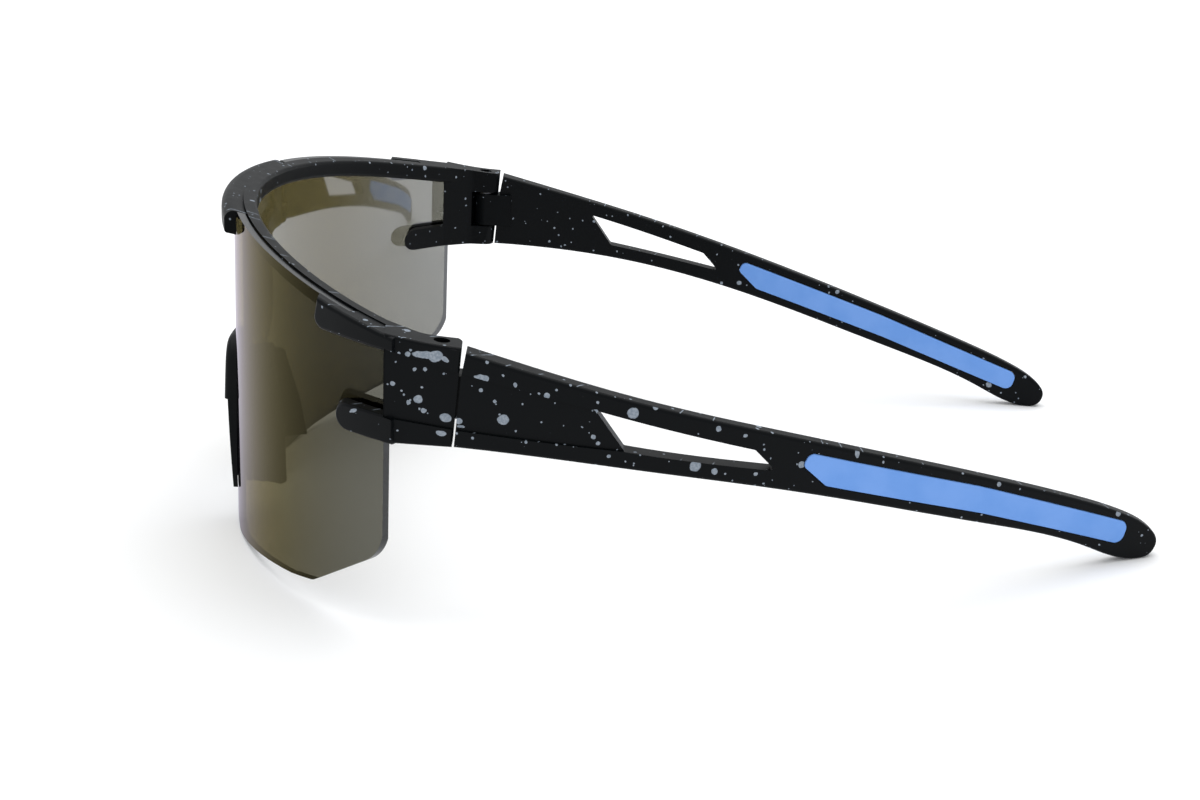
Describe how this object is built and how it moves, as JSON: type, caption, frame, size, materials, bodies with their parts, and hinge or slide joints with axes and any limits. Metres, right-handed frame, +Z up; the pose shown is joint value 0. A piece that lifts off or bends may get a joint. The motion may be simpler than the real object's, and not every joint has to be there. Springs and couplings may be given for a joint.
{
  "type": "wraparound sport sunglasses",
  "caption": "Tinted shield lens hooked into a brow frame, with a nose piece and two folding temples with soft grips; shields the eyes from sun and wind.",
  "frame": {"origin": "centre of the bounding box at the level that the glasses stand on, lens lobes and temple tips down", "axes": "+X to the wearer's left, +Y from the lens back along the temples, +Z up"},
  "size_m": [0.142, 0.1676, 0.0615],
  "materials": {
    "speckled_plastic": "matte black with fine grey paint speckles",
    "mirrored_lens": "polished bronze tint with a faint mirror coat",
    "black_plastic": "satin",
    "black_rubber": "soft matte",
    "blue_rubber": "soft matte",
    "dark_steel": "blackened",
    "nut_brass": "turned"
  },
  "bodies": {
    "front": {"brow_frame": "speckled_plastic", "shield_lens": "mirrored_lens", "nose_clip": "black_plastic", "nose_saddle": "black_rubber", "hinge_screw_left": "dark_steel", "hinge_screw_right": "dark_steel", "hinge_nut_left": "nut_brass", "hinge_nut_right": "nut_brass", "hinge_washer_left": "dark_steel", "hinge_washer_right": "dark_steel"},
    "left_temple": {"temple_left": "speckled_plastic", "temple_grip_left": "blue_rubber"},
    "right_temple": {"temple_right": "speckled_plastic", "temple_grip_right": "blue_rubber"}
  },
  "joints": [
    {"name": "left_temple_fold", "type": "hinge", "parent": "front", "child": "left_temple", "pos_m": [0.0671, -0.03766, 0.04067], "axis": [0, 0.0643, 0.9979], "range_deg": [0, 82]},
    {"name": "right_temple_fold", "type": "hinge", "parent": "front", "child": "right_temple", "pos_m": [-0.0671, -0.03766, 0.04067], "axis": [0, -0.0643, -0.9979], "range_deg": [0, 74]}
  ]
}
